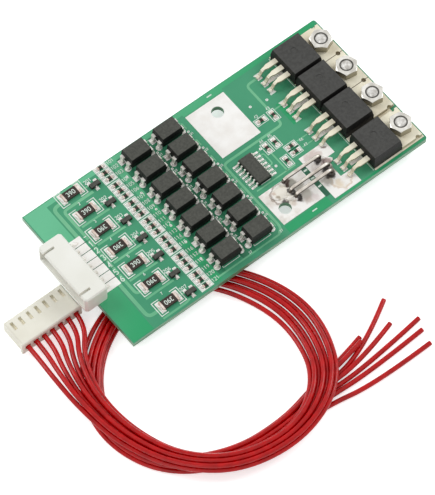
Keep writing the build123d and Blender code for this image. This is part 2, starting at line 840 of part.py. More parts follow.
def lane_point(corner, across):
    """A coil corner moved across the bundle, so that the runs on both sides stay parallel."""
    middle = [(fan[middle_wire], fan_y)] + [c[:2] for c in coil] + [tail_heading]
    (x0, y0), (x, y), (x1, y1) = middle[corner : corner + 3]
    arriving = math.atan2(y - y0, x - x0)
    leaving = math.atan2(y1 - y, x1 - x)
    half_turn = ((leaving - arriving + math.pi) % (2 * math.pi) - math.pi) / 2
    reach = across / math.cos(half_turn)
    heading = arriving + half_turn
    return (x - reach * math.sin(heading), y + reach * math.cos(heading))


def wire_points(number):
    """A wire's corners from the plug to its free end."""
    exit_x = entries[number - 1]
    rider = number % 2 == 0
    points = [
        (exit_x, plug_face_y + entry_deep, wire_exit_z),
        (exit_x, straight_y, wire_exit_z),
        (fan[number], fan_y, high + fan_lift + (fan_rise if rider else 0)),
    ]
    for i, (_, _, height, spacing, shifts) in enumerate(coil):
        rise = rider_rise - rider_settle * (spacing - tight) if rider else 0
        x, y = lane_point(i, (number - middle_wire) * spacing + shifts.get(number, 0))
        points.append((x, y, height + rise))
    points += tails[number]
    return [Vector(board_x + x, y, z) for x, y, z in points]


def bend_radii(points):
    """The largest tangent arcs that leave a tenth of each shorter run straight."""
    radii = []
    for before, corner, after in zip(points, points[1:], points[2:]):
        shorter = min((corner - before).length, (after - corner).length)
        half_turn = math.radians((corner - before).get_angle(after - corner)) / 2
        radii.append(0.45 * shorter / math.tan(half_turn))
    return radii


for number in fan:
    corners = wire_points(number)
    radii = bend_radii(corners)
    with BuildPart() as wire:
        with BuildLine() as wire_line:
            FilletPolyline(*corners, radius=radii)
        with BuildSketch(Plane(corners[0], z_dir=corners[1] - corners[0])):
            Circle(wire_d / 2)
        sweep(path=wire_line.line)
    wire.part.label = f"wire_{number}"
    export_step(wire.part, f"parts/wire_{number}.step")
    length = wire_line.wires()[0].length
    print(wire.part.label, "length", round(length, 1), "least radius", round(min(radii), 1),
          "volume", round(wire.part.volume, 1), "of", round(length * math.pi * wire_d**2 / 4, 1))
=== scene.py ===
import bpy
import math
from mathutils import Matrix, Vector


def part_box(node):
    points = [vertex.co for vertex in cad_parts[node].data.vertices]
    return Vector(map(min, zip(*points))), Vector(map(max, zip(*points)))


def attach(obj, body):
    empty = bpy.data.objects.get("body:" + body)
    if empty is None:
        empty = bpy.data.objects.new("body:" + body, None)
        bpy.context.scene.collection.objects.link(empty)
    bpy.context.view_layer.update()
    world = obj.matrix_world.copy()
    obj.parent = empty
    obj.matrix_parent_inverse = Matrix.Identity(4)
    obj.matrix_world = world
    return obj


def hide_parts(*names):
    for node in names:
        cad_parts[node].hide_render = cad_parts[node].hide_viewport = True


MM = 0.001

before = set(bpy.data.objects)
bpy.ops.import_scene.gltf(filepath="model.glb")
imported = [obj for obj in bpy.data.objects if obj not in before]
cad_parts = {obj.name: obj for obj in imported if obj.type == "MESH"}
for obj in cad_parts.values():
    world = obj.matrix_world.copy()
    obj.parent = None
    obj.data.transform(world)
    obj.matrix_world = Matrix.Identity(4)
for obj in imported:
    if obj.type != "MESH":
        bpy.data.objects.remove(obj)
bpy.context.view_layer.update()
scene = bpy.context.scene

# Places are given in millimetres from the board's centre, heights from the table.
BOARD_X = 1.925
BOARD_UNDER, BOARD_TOP, LAND_TOP, TAB_TOP = 3.7, 5.3, 5.4, 6.65

# Thin layers over the board, each a hair above the last
POUR_Z, SHADE_AND_DARK_GREEN_Z, TRACE_Z, GAP_Z = (BOARD_TOP + rise for rise in (0.012, 0.014, 0.02, 0.026))
SILK_Z, MOUTH_SHADE_Z, PAD_Z, STRIP_Z = (BOARD_TOP + rise for rise in (0.034, 0.038, 0.042, 0.05))
HAIR = 0.012
PAD_TOP = BOARD_TOP + 0.043


def at(x, y, z):
    """A place on the board as a point of the part, in metres."""
    return Vector(((BOARD_X + x) * MM, y * MM, z * MM))


# Camera

AZIMUTH, ELEVATION, DISTANCE = math.radians(-38.494), math.radians(61.121), 867.97
SENSOR, LENS = 36, 250.7
TARGET = at(-14.41, -14.59, BOARD_TOP)
back = Vector(
    (
        math.sin(AZIMUTH) * math.cos(ELEVATION),
        -math.cos(AZIMUTH) * math.cos(ELEVATION),
        math.sin(ELEVATION),
    )
)
camera = bpy.data.objects.new("camera", bpy.data.cameras.new("camera"))
camera.data.sensor_width, camera.data.lens = SENSOR, LENS
camera.data.clip_start, camera.data.clip_end = 0.1, 10
camera.location = TARGET + back * DISTANCE * MM
camera.rotation_mode = "QUATERNION"
camera.rotation_quaternion = (-back).to_track_quat("-Z", "Y")
scene.collection.objects.link(camera)
scene.camera = camera

# Surfaces


def tone(red, green, blue):
    """A display colour from 0 to 255 as a linear one."""
    shares = [value / 255 for value in (red, green, blue)]
    return (*(c / 12.92 if c <= 0.04045 else ((c + 0.055) / 1.055) ** 2.4 for c in shares), 1)


class Surface:
    """A surface in the making: its shader, and short ways to place nodes before it."""

    def __init__(self, name, rough, metal=0.0, coat=0.0, shine=0.4):
        self.material = bpy.data.materials.new(name)
        self.material.use_nodes = True
        self.nodes = self.material.node_tree.nodes
        self.links = self.material.node_tree.links
        self.shader = self.nodes["Principled BSDF"]
        self.shader.inputs["Roughness"].default_value = rough
        self.shader.inputs["Metallic"].default_value = metal
        self.shader.inputs["Coat Weight"].default_value = coat
        self.shader.inputs["Coat Roughness"].default_value = 0.15
        self.shader.inputs["Specular IOR Level"].default_value = shine
        coordinates = self.nodes.new("ShaderNodeTexCoord")
        self.place = coordinates.outputs["Object"]
        self.normal = coordinates.outputs["Normal"]

    def noise(self, scale, detail=4, stretch=(1, 1, 1), output="Fac"):
        mapping = self.nodes.new("ShaderNodeMapping")
        mapping.inputs["Scale"].default_value = stretch
        self.links.new(self.place, mapping.inputs["Vector"])
        noise = self.nodes.new("ShaderNodeTexNoise")
        noise.inputs["Scale"].default_value = scale
        noise.inputs["Detail"].default_value = detail
        self.links.new(mapping.outputs["Vector"], noise.inputs["Vector"])
        return noise.outputs[output]

    def ramp(self, factor, *stops):
        """Colours along a factor, from stops of a position and a tone each."""
        ramp = self.nodes.new("ShaderNodeValToRGB")
        elements = ramp.color_ramp.elements
        for i, (position, colour) in enumerate(stops):
            element = elements[i] if i < 2 else elements.new(position)
            element.position = position
            element.color = tone(*colour)
        self.links.new(factor, ramp.inputs["Fac"])
        return ramp.outputs["Color"]

    def mix(self, factor, under, over):
        """One colour over another, by a factor; a colour is a socket or a tone."""
        mix = self.nodes.new("ShaderNodeMix")
        mix.data_type = "RGBA"
        self.links.new(factor, mix.inputs[0])
        for socket, colour in ((mix.inputs[6], under), (mix.inputs[7], over)):
            if isinstance(colour, tuple):
                socket.default_value = tone(*colour)
            else:
                self.links.new(colour, socket)
        return mix.outputs[2]

    def sum(self, operation, value, other=0.0):
        """A sum on two values, each a socket or a number."""
        node = self.nodes.new("ShaderNodeMath")
        node.operation = operation
        for socket, term in zip(node.inputs, (value, other)):
            if isinstance(term, (int, float)):
                socket.default_value = term
            else:
                self.links.new(term, socket)
        return node.outputs[0]

    def fade(self, value, start, end, high=1.0):
        """A factor that falls smoothly from its height to 0 between two values."""
        node = self.nodes.new("ShaderNodeMapRange")
        node.interpolation_type = "SMOOTHSTEP"
        node.inputs["From Min"].default_value = start
        node.inputs["From Max"].default_value = end
        node.inputs["To Min"].default_value = high
        node.inputs["To Max"].default_value = 0
        self.links.new(value, node.inputs["Value"])
        return node.outputs["Result"]

    def upright(self):
        """1 on faces that stand upright, 0 on level ones."""
        split = self.nodes.new("ShaderNodeSeparateXYZ")
        self.links.new(self.normal, split.inputs[0])
        return self.fade(self.sum("ABSOLUTE", split.outputs["Z"]), 0.35, 0.75)

    def wobble(self, scale, reach):
        """The place seen from above and pushed about by noise, up to a reach in millimetres."""
        flat = self.nodes.new("ShaderNodeVectorMath")
        flat.operation = "MULTIPLY"
        self.links.new(self.place, flat.inputs[0])
        flat.inputs[1].default_value = (1, 1, 0)
        push = self.nodes.new("ShaderNodeVectorMath")
        push.operation = "MULTIPLY_ADD"
        self.links.new(self.noise(scale, 3, output="Color"), push.inputs[0])
        push.inputs[1].default_value = (reach * MM, reach * MM, 0)
        self.links.new(flat.outputs["Vector"], push.inputs[2])
        return push.outputs["Vector"]

    def distance(self, place, x, y):
        """How far a place seen from above lies from a spot, in metres."""
        node = self.nodes.new("ShaderNodeVectorMath")
        node.operation = "DISTANCE"
        self.links.new(place, node.inputs[0])
        node.inputs[1].default_value = at(x, y, 0)
        return node.outputs["Value"]

    def finish(self, colour, relief=None, strength=0.0, depth=0.2):
        self.links.new(colour, self.shader.inputs["Base Color"])
        if relief and strength:
            bump = self.nodes.new("ShaderNodeBump")
            bump.inputs["Strength"].default_value = strength
            bump.inputs["Distance"].default_value = depth * MM
            self.links.new(relief, bump.inputs["Height"])
            self.links.new(bump.outputs["Normal"], self.shader.inputs["Normal"])
        return self.material


def wandering(name, light, dark, scale, bump=0.0, lows=0.35, sides=None, **gloss):
    """A surface whose colour wanders between two tones, with the same wandering as relief.

    Its lows are where the dark tone ends; upright faces may take a painted shade tone of their own.
    """
    surface = Surface(name, **gloss)
    noise = surface.noise(scale)
    colour = surface.ramp(noise, (lows, dark), (1 - lows, light))
    # The sides tone is painted shade: upright faces darker than level ones.
    if sides:
        colour = surface.mix(surface.upright(), colour, sides)
    return surface.finish(colour, noise, bump)


def mask_surface():
    """Green mask on both faces of the board, with the cut laminate between them."""
    surface = Surface("mask_green", rough=0.4, coat=0.15, shine=0.3)
    faces = surface.ramp(surface.noise(45), (0.3, (58, 146, 108)), (0.7, (74, 160, 120)))
    layers = surface.noise(500, stretch=(0.3, 0.3, 6))
    edge = surface.ramp(layers, (0.4, (70, 130, 94)), (0.6, (132, 174, 140)))
    return surface.finish(surface.mix(surface.upright(), faces, edge), surface.noise(2200), 0.04)


def pour_with_painted_sheen():
    """Mask over solid copper, with a painted sheen: paler towards the board's far left corner."""
    surface = Surface("pour_green_painted_sheen", rough=0.38, coat=0.2, shine=0.35)
    split = surface.nodes.new("ShaderNodeSeparateXYZ")
    surface.links.new(surface.place, split.inputs[0])
    # Painted sheen: the green pales towards higher y and lower x, the board's far left corner.
    leftward = surface.sum("MULTIPLY", split.outputs["X"], -0.55)
    along = surface.sum("ADD", split.outputs["Y"], leftward)
    uneven = surface.sum("MULTIPLY", surface.noise(40), 0.01)
    level = surface.fade(surface.sum("ADD", along, uneven), 0.001, 0.051)
    colour = surface.mix(level, (106, 194, 150), (32, 160, 102))
    return surface.finish(colour, surface.noise(2200), 0.04)


# Stains, painted shade and a painted highlight on the soldered lands: x, y, radius, softness of the
# edge, tone and strength. A spot whose edge is a ring has the ring's radius, and is soft to both
# sides of it.
RINGS = [
    (7.9, -12.7, 3.0, 0.4, (112, 84, 60), 0.65),
    (22.6, -18.8, 2.6, 0.5, (206, 176, 140), 0.5),
]
# The near-black spots, at the bridge wires' feet and at the hole's rim, are painted shade; the pale
# spot at (7.8, -12.2) on the battery land's heap is a painted highlight; the rest are stains.
SPOTS_WITH_PAINTED_LIGHT = [
    (10.0, -14.7, 1.1, 0.9, (246, 242, 232), 0.9),
    (8.0, -15.7, 0.6, 0.6, (238, 232, 220), 0.9),
    (7.8, -12.2, 1.4, 1.4, (238, 232, 214), 0.6),
    (6.5, -13.0, 0.25, 0.6, (140, 118, 90), 0.7),
    (6.2, -11.3, 0.3, 0.8, (196, 166, 146), 0.6),
    (7.3, -14.9, 0.4, 0.5, (48, 38, 32), 0.9),
    (8.6, -16.9, 0.3, 0.9, (204, 184, 164), 0.6),
    (11.7, -11.9, 1.1, 0.8, (132, 130, 116), 0.75),
    (10.8, -10.6, 0.9, 0.6, (66, 46, 38), 0.9),
    (12.7, -13.6, 0.8, 0.9, (150, 146, 130), 0.7),
    (10.3, -13.4, 0.8, 0.6, (30, 26, 22), 0.95),
    (13.0, -16.6, 0.7, 1.4, (150, 144, 128), 0.6),
    (12.3, -18.2, 0.4, 1.2, (196, 178, 166), 0.6),
    (14.3, -18.6, 0.5, 1.0, (212, 192, 190), 0.5),
    (10.7, -16.0, 0.8, 0.6, (34, 29, 25), 0.95),
    (10.9, -17.1, 0.3, 0.5, (62, 50, 44), 0.8),
    (21.8, -9.0, 1.0, 1.2, (202, 176, 166), 0.6),
    (19.9, -8.4, 0.5, 1.1, (210, 194, 190), 0.6),
    (25.0, -8.5, 0.3, 0.5, (112, 84, 72), 0.8),
    (19.6, -12.2, 0.6, 1.4, (206, 196, 188), 0.6),
    (22.6, -12.8, 0.8, 0.9, (134, 100, 92), 0.75),
    (19.6, -16.7, 0.7, 1.4, (152, 146, 134), 0.7),
    (22.5, -15.1, 0.7, 0.8, (112, 98, 88), 0.75),
    (21.3, -10.8, 0.8, 0.6, (38, 31, 27), 0.95),
    (21.1, -13.9, 0.7, 0.5, (32, 27, 23), 0.95),
    (21.3, -16.2, 0.9, 0.7, (42, 36, 29), 0.95),
    (21.4, -19.4, 0.4, 1.4, (226, 208, 178), 0.7),
]


def stained_and_painted_light_surface():
    """Tinned copper that has been soldered on by hand, with flux and scorch marks, painted shade at
    the bridge feet and the hole's rim, and a painted highlight.
    """
    surface = Surface("tinned_stained_and_painted_light", rough=0.42, metal=0.1)
    uneven = surface.noise(240)
    colour = surface.ramp(uneven, (0.3, (226, 218, 208)), (0.48, (252, 250, 246)))
    reach = 2.4
    place = surface.wobble(620, reach)
    centre = reach / 2  # the push is half its reach on average
    for stains, ring in ((RINGS, True), (SPOTS_WITH_PAINTED_LIGHT, False)):
        for x, y, radius, soft, stain, strength in stains:
            away = surface.distance(place, x + centre, y + centre)
            if ring:
                away = surface.sum("ABSOLUTE", surface.sum("SUBTRACT", away, radius * MM))
            inner = 0 if ring else radius
            factor = surface.fade(away, inner * MM, (inner + soft) * MM, strength)
            colour = surface.mix(factor, colour, stain)
    return surface.finish(colour, uneven, 0.35)


MASK = mask_surface()
POUR_WITH_PAINTED_SHEEN = pour_with_painted_sheen()
TRACE = wandering(
    "trace_green", (124, 196, 152), (104, 182, 138), 90, rough=0.4, coat=0.15, shine=0.3
)
SHADE = wandering(
    "shaded_green", (52, 132, 96), (40, 114, 82), 140, rough=0.42, coat=0.1, shine=0.3
)
GAP = wandering("gap_green", (58, 112, 88), (44, 98, 76), 200, rough=0.45, shine=0.3)
SILK = wandering("silk_white", (234, 244, 236), (212, 232, 218), 700, rough=0.7)
TIN = wandering(
    "tinned_bright", (254, 253, 250), (243, 240, 235), 260, rough=0.45, metal=0.1, bump=0.12
)
STRIP = wandering("tinned_strip", (255, 250, 246), (240, 228, 222), 420, rough=0.5, bump=0.2)
STAINED_AND_PAINTED_LIGHT = stained_and_painted_light_surface()
SOLDER = wandering(
    "solder", (255, 254, 250), (196, 190, 180), 620, rough=0.24, metal=0.12, bump=0.5, lows=0.3
)
LEAD = wandering("lead_tin", (254, 252, 246), (224, 219, 207), 500, rough=0.3, metal=0.2, bump=0.1)
# Painted shade: the bridge wires' upright sides are dark under their bright tops.
BRIDGE = wandering(
    "bridge_wire", (244, 238, 228), (196, 186, 174), 400, rough=0.26, metal=0.45, bump=0.1,
    sides=(74, 64, 56)
)
# Painted shade: the tabs' upright edges are darker than their tops.
TAB = wandering(
    "tab_tin", (255, 250, 228), (240, 231, 206), 240, rough=0.42, bump=0.15, sides=(190, 180, 152)
)
# Painted shade: the nuts' upright side faces are darker than their tops.
NUT_STEEL = wandering(
    "nut_steel", (240, 238, 231), (200, 197, 189), 520, rough=0.3, metal=0.55, bump=0.15,
    sides=(166, 160, 140)
)
STEEL = wandering(
    "screw_steel", (238, 237, 233), (188, 185, 179), 900, rough=0.3, metal=0.6, bump=0.15
)
SEAM = wandering("seam_brown", (120, 108, 88), (84, 74, 60), 900, rough=0.6)
# Painted shade, for the dark hole mouths and the thread gaps.
SHADOW = wandering("painted_shade_grey", (92, 90, 84), (60, 58, 54), 900, rough=0.6)
# Painted shade: the packages' upright sides are near black, darker than their tops.
EPOXY = wandering(
    "package_black", (82, 83, 77), (68, 69, 64), 1600, rough=0.6, bump=0.35, shine=0.25,
    sides=(22, 22, 21)
)
# Painted shade: the power packages' upright sides are darker than their tops.
POWER_EPOXY = wandering(
    "power_package_black", (74, 74, 72), (63, 63, 61), 1300, rough=0.58, bump=0.3, shine=0.25,
    sides=(28, 27, 26)
)
CERAMIC = wandering("resistor_black", (60, 50, 44), (46, 38, 33), 900, rough=0.42, shine=0.3)
CAP = wandering("end_cap", (244, 232, 224), (206, 180, 164), 800, rough=0.38, metal=0.2, bump=0.15)
HEADER = wandering("header_nylon", (250, 250, 243), (243, 243, 234), 90, rough=0.5, bump=0.05)
PLUG = wandering("plug_nylon", (247, 245, 232), (240, 237, 222), 120, rough=0.5, bump=0.05)
CONTACT = wandering("contact_tin", (252, 246, 228), (238, 230, 208), 500, rough=0.4)
WIRE = wandering(
    "wire_red", (200, 5, 8), (174, 2, 4), 420, rough=0.22, coat=0.06, bump=0.05, shine=0.3
)

CAD_LOOKS = {
    "circuit_board": MASK,
    "load_land": TIN,
    "battery_land": STAINED_AND_PAINTED_LIGHT,
    "shunt_land": STAINED_AND_PAINTED_LIGHT,
    "tab_land": TAB,
    "small_lands": TIN,
    "header_housing": HEADER,
    "header_pins": LEAD,
    "resistor_caps": CAP,
    "bleed_transistors": EPOXY,
    "bleed_leads": LEAD,
    "chip_bodies": CERAMIC,
    "chip_caps": CAP,
    "coupler_leads": LEAD,
    "logic_chip": EPOXY,
    "logic_leads": LEAD,
    "clamp_screws": STEEL,
    "clamp_washers": STEEL,
    "clamp_nuts": NUT_STEEL,
    "shunt_bridges": BRIDGE,
    "plug_housing": PLUG,
    "plug_contacts": CONTACT,
}
for number in range(1, 8):
    CAD_LOOKS[f"balance_resistor_{number}"] = CERAMIC
    for column in "ab":
        CAD_LOOKS[f"coupler_{column}{number}"] = EPOXY
for number in range(1, 5):
    CAD_LOOKS[f"fet_body_{number}"] = POWER_EPOXY
    CAD_LOOKS[f"fet_frame_{number}"] = TAB
for node, look in CAD_LOOKS.items():
    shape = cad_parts[node]
    shape.data.materials.clear()
    shape.data.materials.append(look)

# Harness wires

WIRE_D = 1.3
LOW, HIGH = 0.65, 3.19
PLUG_X, PLUG_FACE_Y, ENTRY_DEEP, EXIT_Z = -60.2, -5.9, 1.0, 2.1
PIN_PITCH, MIDDLE_WIRE = 2.5, 4
STRAIGHT_Y, FAN_Y = -9.8, -17.0
FAN = {1: -68.4, 2: -66.7, 3: -65.1, 4: -63.5, 5: -61.9, 6: -60.3, 7: -58.8}
FAN_LIFT, FAN_RISE = 0.3, 0.85
TIGHT, RIDER_RISE, RIDER_SETTLE = 0.67, 1.17, 0.6

# Corners of the coil's middle line: x, y, the lower wires' height, the spacing of the wires, and
# what single wires leave their lane by
COIL = [
    (-65.4, -27.5, HIGH, 1.0, {}),
    (-64.2, -41.0, HIGH, 0.85, {}),
    (-58.4, -54.6, HIGH, TIGHT, {}),
    (-46.5, -64.6, HIGH, TIGHT, {}),
    (-29.3, -66.9, HIGH, TIGHT, {}),
    (-15.4, -60.0, HIGH + 0.9, 1.05, {}),
    (-9.0, -44.5, LOW, 1.36, {}),
    (-10.6, -31.0, LOW, 1.25, {7: 0.4}),
    (-19.2, -16.9, LOW, 0.95, {7: 0.2}),
    (-34.0, -8.8, LOW, 0.75, {}),
    (-51.6, -14.1, LOW, TIGHT, {1: -1.4}),
    (-63.2, -25.0, LOW, TIGHT, {1: -0.5}),
    (-66.6, -39.0, LOW, TIGHT, {}),
    (-60.4, -53.4, LOW, TIGHT, {}),
    (-45.5, -61.6, LOW, TIGHT, {}),
    (-30.0, -62.6, LOW, TIGHT, {}),
]
TAIL_HEADING = (-19.0, -60.6)
TAILS = {
    1: [(-20.0, -64.3, LOW), (-6.0, -67.2, LOW), (11.9, -66.9, LOW)],
    2: [(-19.0, -63.0, 1.3), (-5.0, -63.8, LOW), (12.7, -62.8, LOW)],
    3: [(-19.0, -61.6, LOW), (-5.0, -62.1, LOW), (14.1, -59.8, LOW)],
    4: [(-19.0, -60.65, 1.75), (-5.0, -60.4, 1.5), (7.4, -56.6, 1.0)],
    5: [(-19.0, -59.7, LOW), (-4.0, -59.0, LOW), (10.6, -50.3, LOW)],
    6: [(-19.0, -58.95, 1.85), (-9.0, -57.75, 1.85), (-1.7, -56.1, 1.6)],
    7: [(-19.0, -58.2, LOW), (-9.0, -56.65, LOW), (-0.9, -54.7, LOW)],
}


def lane_point(corner, across):
    """A coil corner moved across the bundle, so that the runs on both sides stay parallel."""
    middle = [(FAN[MIDDLE_WIRE], FAN_Y)] + [c[:2] for c in COIL] + [TAIL_HEADING]
    (x0, y0), (x, y), (x1, y1) = middle[corner : corner + 3]
    arriving = math.atan2(y - y0, x - x0)
    leaving = math.atan2(y1 - y, x1 - x)
    half_turn = ((leaving - arriving + math.pi) % (2 * math.pi) - math.pi) / 2
    reach = across / math.cos(half_turn)
    heading = arriving + half_turn
    return x - reach * math.sin(heading), y + reach * math.cos(heading)


def wire_points(number):
    """A wire's corners from the plug to its free end."""
    exit_x = PLUG_X + PIN_PITCH * (number - MIDDLE_WIRE)
    rider = number % 2 == 0
    points = [
        (exit_x, PLUG_FACE_Y + ENTRY_DEEP, EXIT_Z),
        (exit_x, STRAIGHT_Y, EXIT_Z),
        (FAN[number], FAN_Y, HIGH + FAN_LIFT + (FAN_RISE if rider else 0)),
    ]
    for i, (_, _, height, spacing, shifts) in enumerate(COIL):
        rise = RIDER_RISE - RIDER_SETTLE * (spacing - TIGHT) if rider else 0
        x, y = lane_point(i, (number - MIDDLE_WIRE) * spacing + shifts.get(number, 0))
        points.append((x, y, height + rise))
    return points + TAILS[number]


for number in FAN:
    corners = wire_points(number)
    curve = bpy.data.curves.new(f"red_wire_{number}", "CURVE")
    curve.dimensions = "3D"
    curve.bevel_depth = WIRE_D / 2 * MM
    curve.bevel_resolution = 5
    curve.use_fill_caps = True
    line = curve.splines.new("NURBS")
    line.points.add(len(corners) - 1)
    for point, corner in zip(line.points, corners):
        point.co = (*at(*corner), 1)
    line.order_u = 3
    line.use_endpoint_u = True
    line.resolution_u = 10
    line.use_smooth = True
    curve.materials.append(WIRE)
    wire = bpy.data.objects.new(f"red_wire_{number}", curve)
    scene.collection.objects.link(wire)
    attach(wire, "root")
    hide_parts(f"wire_{number}")

# Flat prints and solder


def add_mesh(name, points, faces, look, smooth=False):
    """A mesh piece given by its points in metres, going with the board."""
    data = bpy.data.meshes.new(name)
    data.from_pydata(points, [], faces)
    data.materials.append(look)
    for face in data.polygons:
        face.use_smooth = smooth
    piece = bpy.data.objects.new(name, data)
    scene.collection.objects.link(piece)
    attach(piece, "root")
    return piece


class Print:
    """Flat strips and patches at one height, gathered into one mesh."""

    def __init__(self, height, faces_down=False):
        self.height, self.points, self.faces, self.order = height, [], [], -1 if faces_down else 1

    def polygon(self, corners):
        start = len(self.points)
        self.points += [at(x, y, self.height) for x, y in corners]
        self.faces.append(tuple(range(start, len(self.points)))[:: self.order])

    def patch(self, x0, x1, y0, y1):
        self.polygon([(x0, y0), (x1, y0), (x1, y1), (x0, y1)])

    def strip(self, line, width):
        """A band of one width along a line of points, mitred at its corners."""
        left, right = [], []
        for i, (x, y) in enumerate(line):
            before = line[i - 1] if i else None
            after = line[i + 1] if i + 1 < len(line) else None
            if line[0] == line[-1] and i in (0, len(line) - 1):
                before, after = line[-2], line[1]
            a = math.atan2(y - before[1], x - before[0]) if before else None
            b = math.atan2(after[1] - y, after[0] - x) if after else None
            a, b = (b if a is None else a), (a if b is None else b)
            half = ((b - a + math.pi) % (2 * math.pi) - math.pi) / 2
            reach = width / 2 / math.cos(half)
            dx, dy = -math.sin(a + half) * reach, math.cos(a + half) * reach
            left.append((x + dx, y + dy))
            right.append((x - dx, y - dy))
        for i in range(len(line) - 1):
            self.polygon([right[i], right[i + 1], left[i + 1], left[i]])

    def frame(self, x0, x1, y0, y1, width):
        self.strip([(x0, y0), (x1, y0), (x1, y1), (x0, y1), (x0, y0)], width)

    def ring(self, x, y, inner, outer, sides=18):
        turns = [2 * math.pi * i / sides for i in range(sides + 1)]
        for a, b in zip(turns, turns[1:]):
            self.polygon(
                [
                    (x + r * math.cos(t), y + r * math.sin(t))
                    for r, t in ((inner, a), (outer, a), (outer, b), (inner, b))
                ]
            )

    def done(self, name, look, record_slot):
        return add_mesh(name, self.points, self.faces, look)


class Solder:
    """Heaps and collars of solder, gathered into one mesh of closed forms."""

    # Rings from the rim to the crown: share of the radius, share of the height
    HEAP = ((1, 0), (0.95, 0.3), (0.8, 0.62), (0.55, 0.86), (0.28, 0.97))
    COLLAR = ((1, 0), (0.82, 0.1), (0.66, 0.3), (0.55, 0.6), (0.48, 0.95))

    def __init__(self):
        self.points, self.faces = [], []

    def heap(self, x, y, base, wide, deep, height, rings=HEAP, sides=14):
        """An uneven round form, made uneven by its place; a height below 0 hangs down."""
        start, first = len(self.points), len(self.faces)
        odd = 1.7 * x + 2.9 * y
        for share, rise in rings:
            for i in range(sides):
                turn = 2 * math.pi * i / sides
                bulge = 0.07 * math.sin(2 * turn + odd) + 0.05 * math.sin(3 * turn + 2.3 * odd)
                reach = share * (1 + bulge)
                across, along = wide * reach * math.cos(turn), deep * reach * math.sin(turn)
                self.points.append(at(x + across, y + along, base + height * rise))
        self.points.append(at(x, y, base + height))
        crown = len(self.points) - 1
        self.faces.append(tuple(start + i for i in reversed(range(sides))))
        for ring in range(len(rings)):
            low = start + ring * sides
            for i in range(sides):
                j = (i + 1) % sides
                if ring + 1 < len(rings):
                    self.faces.append((low + i, low + j, low + sides + j, low + sides + i))
                else:
                    self.faces.append((low + i, low + j, crown))
        if height < 0:
            self.faces[first:] = [face[::-1] for face in self.faces[first:]]

    def done(self, name, look, record_slot):
        return add_mesh(name, self.points, self.faces, look, smooth=True)


def bent(line, radius, steps=5):
    """A line of points with its corners rounded off."""
    rounded = [line[0]]
    for before, corner, after in zip(line, line[1:], line[2:]):
        for step in range(steps + 1):
            t = step / steps
            weights = ((1 - t) ** 2, 2 * t * (1 - t), t**2)
            ends = []
            for other in (before, after):
                share = min(radius / math.dist(corner, other), 0.5)
                ends.append([c + (o - c) * share for c, o in zip(corner, other)])
            points = (ends[0], corner, ends[1])
            rounded.append(tuple(sum(w * p[i] for w, p in zip(weights, points)) for i in (0, 1)))
    return rounded + [line[-1]]


# Strokes of the plain digits on a grid one wide and two high
DIGITS = {
    "0": [
        [(0.3, 0), (0.7, 0), (1, 0.4), (1, 1.6), (0.7, 2), (0.3, 2), (0, 1.6), (0, 0.4), (0.3, 0)],
    ],
    "1": [[(0.1, 1.6), (0.5, 2), (0.5, 0)]],
    "2": [[(0, 1.6), (0.3, 2), (0.7, 2), (1, 1.6), (1, 1.25), (0, 0), (1, 0)]],
    "3": [
        [(0, 1.8), (0.3, 2), (0.7, 2), (1, 1.6), (0.7, 1.05), (1, 0.45), (0.7, 0), (0.3, 0)]
        + [(0, 0.2)],
    ],
    "4": [[(0.75, 0), (0.75, 2), (0, 0.6), (1, 0.6)]],
    "5": [[(1, 2), (0.1, 2), (0, 1.1), (0.6, 1.2), (1, 0.8), (1, 0.4), (0.6, 0), (0, 0.1)]],
    "6": [
        [(0.9, 1.9), (0.4, 1.7), (0, 0.9), (0, 0.35), (0.4, 0), (0.8, 0.1), (1, 0.6), (0.6, 1.1)]
        + [(0.05, 0.8)],
    ],
    "7": [[(0, 2), (1, 2), (0.35, 0)]],
    "8": [
        [(0.3, 1.05), (0, 1.5), (0.3, 2), (0.7, 2), (1, 1.5), (0.3, 0.95), (0, 0.45), (0.3, 0)]
        + [(0.7, 0), (1, 0.45), (0.3, 1.05)],
    ],
    "9": [
        [(0.95, 1.2), (0.4, 0.9), (0, 1.35), (0.3, 1.95), (0.7, 2), (1, 1.5), (0.9, 0.6), (0.3, 0)],
    ],
    "-": [[(0, 1), (1, 1)]],
}


def write(target, text, x, y, height, weight, turned=False):
    """Digits in strokes, centred on a place; turned ones stand on their heads."""
    size = height / 2
    pitch = size * 1.55
    left = -pitch * (len(text) - 1) / 2 - size / 2
    sign = -1 if turned else 1
    for i, digit in enumerate(text):
        for stroke in DIGITS[digit]:
            line = [
                (x + sign * (left + pitch * i + u * size), y + sign * (v - 1) * size)
                for u, v in stroke
            ]
            target.strip(line, weight)


# Where the parts stand on the board
CELL_PITCH = 6.56
RESISTORS = [
    (x, 20.7 - CELL_PITCH * i - (0.5 if i == 6 else 0))
    for i, x in enumerate((-34.005, -34.005, -33.955, -33.955, -33.545, -33.545, -33.545))
]
RESISTOR_HIGH = 0.55
BLEED_X, BLEED_ROWS = -27.62, [18.93 - CELL_PITCH * i for i in range(7)]
CHIP_X, CHIP_PITCH = -23.47, 2.02
CHIP_ROWS = [[20.15 - CELL_PITCH * i + CHIP_PITCH * k for k in (1, 0, -1)] for i in range(7)]
CHIPS = [y for rows in CHIP_ROWS for y in rows]
PIN_ROWS = [8.54 - 2.5 * i for i in range(7)]
COUPLER_COLUMNS = (-14.185, -4.165)
COUPLER_ROWS = [18.8 - 6.08 * i for i in range(7)]
COUPLERS = [(x, row) for x in COUPLER_COLUMNS for row in COUPLER_ROWS]
LEG_X, LEG_Y = 3.81, 1.27
COUPLER_LEGS = [
    (x + side * LEG_X, row + up * LEG_Y)
    for x, row in COUPLERS
    for side in (-1, 1)
    for up in (-1, 1)
]
LOGIC_X, LOGIC_Y = 6.94, -2.95
LOGIC_ROWS = [LOGIC_Y + 1.27 * i for i in range(-3, 4)]
